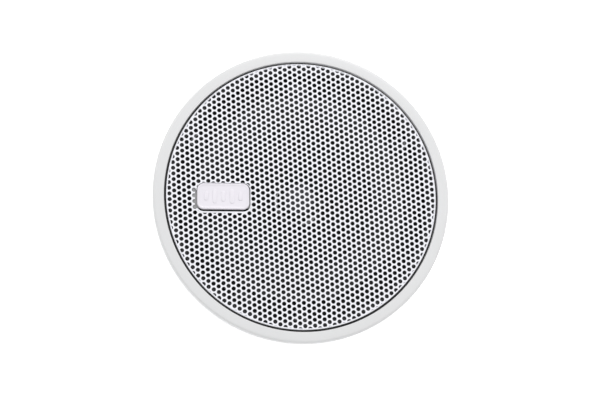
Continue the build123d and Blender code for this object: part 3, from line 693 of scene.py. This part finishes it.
class SPEAKER_OT_grille(bpy.types.Operator):
    """The perforated sheet with its plain rolled rim and the band round the badge's window"""

    bl_idname = "speaker.grille"
    bl_label = "Perforated grille"

    def execute(self, context):
        chosen = context.scene.speaker_grille
        under = GRILLE_TOP - chosen.sheet
        field = GRILLE_R - chosen.rim + 0.12
        section = rounded((0, GRILLE_TOP), (field, GRILLE_TOP), (field, under), (0, under))
        sheet = lathe("grille_sheet", section, FINE)
        x, y = BADGE_CENTRE.x / MM, BADGE_CENTRE.y / MM
        half_x, half_y = BADGE_SIZE.x / 2, BADGE_SIZE.y / 2

        def around_badge(left, right, below, above):
            """The outline that stands off the badge by these distances."""
            middle = (x + (right - left) / 2, y + (above - below) / 2)
            width = 2 * half_x + left + right
            return rounded_rectangle(width, 2 * half_y + below + above, 3.7, middle)

        hole = around_badge(0.3, 0.65, 1.0, 0.35)
        side = (x - half_x - 1.1, x - half_x + 1), (y - 6.4, y + 3.2), (under - 1, GRILLE_TOP + 1)
        window = stacked("badge_window", [(hole, under - 1), (hole, GRILLE_TOP + 1)])
        tree, keys = perforation_tree()
        values = {
            "Pitch": chosen.pitch * MM,
            "Row Step": chosen.row_step * MM,
            "Hole Radius": chosen.hole / 2 * MM,
            "Flare": chosen.lip * MM,
            "Field Radius": (field + 0.7) * MM,
            "Row Angle": chosen.row_angle,
            "Row Offset": chosen.row_offset * MM,
            "Top": GRILLE_TOP * MM,
            "Sheet": chosen.sheet * MM,
            "Window": window,
            "Finish": finish("white_enamel"),
        }
        through_tree(sheet, tree, keys, values, sharp=30.0)
        drop(window)
        cut(sheet, box_piece(*side), 30.0)
        rim = lathe(
            "grille_rim",
            rounded(
                (GRILLE_R - chosen.rim, GRILLE_TOP - 0.4),
                (GRILLE_R - chosen.rim, GRILLE_TOP + 0.02, 0.15),
                (GRILLE_R, GRILLE_TOP, 0.5),
                (GRILLE_R, GRILLE_END, 0.2),
                (GRILLE_R - chosen.sheet, GRILLE_END, 0.2),
                (GRILLE_R - chosen.sheet, GRILLE_TOP - 0.4),
            ),
        )
        outer = around_badge(0.4, 0.95, 1.75, 0.5)
        band = stacked("badge_band", [(outer, under - 0.02), (outer, GRILLE_TOP + 0.02)])
        cut(band, stacked("helper", [(hole, under - 1), (hole, GRILLE_TOP + 1)]))
        cut(band, box_piece(*side))
        whole = joined("grille_sheet_and_rim", [sheet, rim, band], 30.0)
        clad(whole, "white_enamel", "grille", "grille")
        return {"FINISHED"}


class SPEAKER_OT_badge(bpy.types.Operator):
    """The raised badge with its rim and five plain bars, and the plate behind it"""

    bl_idname = "speaker.badge"
    bl_label = "Badge"

    def execute(self, context):
        x, y = BADGE_CENTRE.x / MM, BADGE_CENTRE.y / MM
        top = badge_high.z / MM
        corner = 3.4

        def outline(inset):
            size = BADGE_SIZE.x - 2 * inset, BADGE_SIZE.y - 2 * inset
            return rounded_rectangle(*size, corner - inset, (x, y))

        layers = [(outline(0), badge_low.z / MM), (outline(0), top - 0.55)]
        for step in range(1, 5):
            angle = math.pi / 2 * step / 4
            layers.append((outline(0.5 * (1 - math.cos(angle))), top - 0.55 + 0.5 * math.sin(angle)))
        for inset, drop_mm in ((0.8, 0.06), (1.0, 0.14), (1.25, 0.28), (1.6, 0.32)):
            layers.append((outline(inset), top - drop_mm))
        parts = [stacked("badge_pad", layers, 50.0)]
        for place, height in ((-9.0, 4.6), (-4.5, 7.6), (0.0, 5.6), (4.5, 7.6), (9.0, 4.6)):
            bar = [
                (rounded_rectangle(2.3 - 2 * inset, height - 2 * inset, 1.1 - inset, (x + place, y)),
                 top - deep)
                for inset, deep in ((0, 0.6), (0, 0.2), (0.08, 0.1), (0.3, 0.04))
            ]
            parts.append(stacked("badge_bar", bar, 50.0))
        clad(joined("badge_pad_and_bars", parts, 50.0), "badge_plastic", "grille", "badge")

        plate_low, plate_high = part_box("badge_backing")
        tuck = 1.4
        width = (plate_high.x - plate_low.x) / MM - tuck
        depth = (plate_high.y - plate_low.y) / MM
        middle = ((plate_high.x + plate_low.x) / MM / 2 + tuck / 2, (plate_high.y + plate_low.y) / MM / 2)
        plate = rounded_rectangle(width, depth, 2.0, middle)
        eased = rounded_rectangle(width - 0.3, depth - 0.3, 1.85, middle)
        plate_top = plate_high.z / MM
        layers = [(plate, plate_low.z / MM), (plate, plate_top - 0.15), (eased, plate_top)]
        clad(stacked("badge_backing_plate", layers), "grey_backing", "grille", "badge_backing")
        return {"FINISHED"}


class SPEAKER_OT_driver(bpy.types.Operator):
    """The woofer's cone, its half-roll edge and its corrugated spider"""

    bl_idname = "speaker.driver"
    bl_label = "Cone, surround and spider"

    def execute(self, context):
        cone_low, cone_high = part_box("cone")
        edge = cone_high.x / MM
        front = cone_high.z / MM
        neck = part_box("coil_former")[1].x / MM
        end = cone_low.z / MM
        slope = edge - 2.6
        bow = 1.2
        upper, lower = [], []
        for step in range(13):
            part = step / 12
            radius = slope + (neck - slope) * part
            sag = bow * 4 * part * (1 - part)
            upper.append((radius, front + (end + 1.0 - front) * part - sag * 0.6))
            lower.append((radius + 0.25, front - 0.8 + (end - front + 0.8) * part - sag * 0.6))
        outline = [(edge, front), *upper, *reversed(lower), (edge, front - 0.8)]
        cone = lathe("cone_body", outline, FINE, 40.0)
        clad(cone, "cone_paper", "cone", "cone")

        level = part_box("surround")[0].z / MM
        middle, radius, skin = 45.0, 3.6, 0.5

        def half_roll(reach):
            """The points of a half circle, from outside to inside."""
            ways = [math.pi * step / 24 for step in range(25)]
            return [(middle + reach * math.cos(way), level + reach * math.sin(way)) for way in ways]

        outer = half_roll(radius + skin)
        inner = half_roll(radius)
        outline = [(51.4, level), (51.4, level + skin), (middle + radius + skin + 0.1, level + skin)]
        outline += [point for point in outer if point[1] > level + skin]
        outline += [(slope, level + skin), (slope, level), *reversed(inner)]
        roll = lathe("surround_roll", outline, FINE, 50.0)
        clad(roll, "surround_rubber", None, "surround")
        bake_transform(roll)
        weigh_by_radius(roll, (middle + radius) * MM, (middle - radius) * MM)

        spider_low, spider_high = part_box("spider")
        level = (spider_low.z + spider_high.z) / MM / 2
        rolls, deep, reach, thick = 4, 0.7, 27.0, 0.2
        wave = []
        for step in range(49):
            part = step / 48
            wave.append((neck + (reach - neck) * part, level + deep * math.sin(math.tau * rolls * part)))
        outline = [(r, z + thick) for r, z in wave] + [(31.0, level + thick), (31.0, level - thick)]
        outline += [(r, z - thick) for r, z in reversed(wave)]
        disc = lathe("spider_disc", outline, 128, 50.0)
        clad(disc, "spider_cloth", None, "spider")
        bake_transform(disc)
        weigh_by_radius(disc, reach * MM, neck * MM)
        return {"FINISHED"}


def weigh_by_radius(piece, still, moving):
    """Works out, for each corner of a round soft piece, how far it lies from the still radius towards the
    moving one; the result is not stored.
    """
    for corner in piece.data.vertices:
        part = (corner.co.xy.length - still) / (moving - still)
        part = min(1.0, max(0.0, part))


class SPEAKER_OT_fittings(bpy.types.Operator):
    """Every other piece of the frame, with merged faces, smooth shading but for the sharp edges, and its own
    finish
    """

    bl_idname = "speaker.fittings"
    bl_label = "Fittings"

    def execute(self, context):
        for name, cad in frame["nodes"].items():
            if cad.hide_render:
                continue
            shape = bmesh.new()
            shape.from_mesh(cad.data)
            bmesh.ops.remove_doubles(shape, verts=shape.verts, dist=2e-6)
            bmesh.ops.dissolve_limit(
                shape, angle_limit=math.radians(0.5), verts=shape.verts, edges=shape.edges, delimit={"NORMAL"}
            )
            made = bpy.data.meshes.new(f"{name}_eased")
            shape.to_mesh(made)
            shape.free()
            made.polygons.foreach_set("use_smooth", [True] * len(made.polygons))
            made.set_sharp_from_angle(angle=math.radians(30))
            piece = new_piece(f"{name}_eased", made)
            if name != "tinsel_leads":
                clad(piece, NODE_SLOT[name], NODE_BODY[name], name)
                continue
            clad(piece, NODE_SLOT[name], None, name)
            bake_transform(piece)
            reach = [corner.co.xy.length for corner in made.vertices]
            weigh_by_radius(piece, max(reach), min(reach))
        return {"FINISHED"}


class SPEAKER_OT_stage(bpy.types.Operator):
    """The pale floor, the soft light and the camera"""

    bl_idname = "speaker.stage"
    bl_label = "Stage"

    def execute(self, context):
        scene = context.scene
        chosen = scene.speaker_stage
        ground = frame_low.z
        floor_reach = 40.0
        shape = bmesh.new()
        bmesh.ops.create_grid(shape, x_segments=1, y_segments=1, size=floor_reach)
        made = bpy.data.meshes.new("floor")
        bmesh.ops.translate(shape, verts=shape.verts, vec=(0, 0, ground - 0.0002))
        shape.to_mesh(made)
        shape.free()
        floor = new_piece("floor", made)
        pale = bpy.data.materials.new("floor_paper")
        pale.use_nodes = True
        shader = pale.node_tree.nodes["Principled BSDF"]
        shader.inputs["Base Color"].default_value = (0.86, 0.86, 0.86, 1)
        shader.inputs["Roughness"].default_value = 0.95
        shader.inputs["Specular IOR Level"].default_value = 0.1
        shader.inputs["Emission Color"].default_value = (1, 1, 1, 1)
        shader.inputs["Emission Strength"].default_value = chosen.floor_glow
        made.materials.append(pale)

        world = bpy.data.worlds.new("studio")
        world.use_nodes = True
        tree = world.node_tree
        sky = tree.nodes["Background"]
        sky.inputs["Strength"].default_value = chosen.sky
        height = tree.nodes.new("ShaderNodeSeparateXYZ")
        tree.links.new(tree.nodes.new("ShaderNodeTexCoord").outputs["Generated"], height.inputs[0])
        ramp = tree.nodes.new("ShaderNodeValToRGB")
        steps = ((0.0, 1.0), (0.07, 1.0), (0.16, 0.50), (0.45, 0.60), (0.75, 1.15), (1.0, 1.30))
        for place, tone in steps[1:-1]:
            ramp.color_ramp.elements.new(place)
        for spot, (place, tone) in zip(ramp.color_ramp.elements, steps):
            spot.position = place
            spot.color = (0.985 * tone, 0.99 * tone, tone, 1)
        tree.links.new(height.outputs["Z"], ramp.inputs["Fac"])
        tree.links.new(ramp.outputs["Color"], sky.inputs["Color"])
        scene.world = world
        lamps = (
            ("key_light", (0.30, 0.85, 0.75), 0.45, chosen.key_power),
            ("rim_light", (-0.75, 0.35, 0.35), 0.30, chosen.key_power * 0.12),
        )
        for name, place, wide, power in lamps:
            lamp = bpy.data.lights.new(name, "AREA")
            lamp.shape = "DISK"
            lamp.size = wide
            lamp.energy = power
            light = bpy.data.objects.new(name, lamp)
            light.location = place
            light.rotation_euler = (-Vector(place)).to_track_quat("-Z", "Y").to_euler()
            scene.collection.objects.link(light)

        lens = bpy.data.cameras.new("camera")
        lens.lens = chosen.lens
        lens.sensor_width = 36.0
        lens.clip_start = 0.05
        camera = bpy.data.objects.new("camera", lens)
        across = Vector((-math.sin(chosen.lean), math.cos(chosen.lean), 0))
        leaned = Matrix.Rotation(chosen.tilt, 3, across)
        to_grille = Vector((chosen.shift_x, chosen.shift_y, -chosen.distance)) * MM
        spot = Vector((0, 0, grille_high.z)) - leaned.transposed() @ to_grille
        camera.matrix_world = Matrix.Translation(spot) @ leaned.transposed().to_4x4()
        scene.collection.objects.link(camera)
        scene.camera = camera
        scene.view_settings.view_transform = "Standard"
        return {"FINISHED"}


STEPS = (
    SPEAKER_OT_bezel, SPEAKER_OT_grille, SPEAKER_OT_badge, SPEAKER_OT_driver, SPEAKER_OT_fittings,
    SPEAKER_OT_stage,
)


class SPEAKER_PT_panel(bpy.types.Panel):
    bl_idname = "SPEAKER_PT_panel"
    bl_label = "Flush speaker"
    bl_space_type = "VIEW_3D"
    bl_region_type = "UI"
    bl_category = "Speaker"

    def draw(self, context):
        for step in STEPS:
            self.layout.operator(step.bl_idname)
        for group in GROUPS:
            for key in getattr(context.scene, group).__annotations__:
                self.layout.prop(getattr(context.scene, group), key)


GROUPS = {
    "speaker_grille": GrilleSettings,
    "speaker_bezel": BezelSettings,
    "speaker_finish": FinishSettings,
    "speaker_stage": StageSettings,
}


def register():
    for group, settings in GROUPS.items():
        bpy.utils.register_class(settings)
        setattr(bpy.types.Scene, group, bpy.props.PointerProperty(type=settings))
    for step in STEPS:
        bpy.utils.register_class(step)
    bpy.utils.register_class(SPEAKER_PT_panel)


def unregister():
    bpy.utils.unregister_class(SPEAKER_PT_panel)
    for step in reversed(STEPS):
        bpy.utils.unregister_class(step)
    for group, settings in reversed(GROUPS.items()):
        delattr(bpy.types.Scene, group)
        bpy.utils.unregister_class(settings)


def main():
    register()
    for step in STEPS:
        area, name = step.bl_idname.split(".")
        getattr(getattr(bpy.ops, area), name)()


if __name__ == "__main__":
    main()
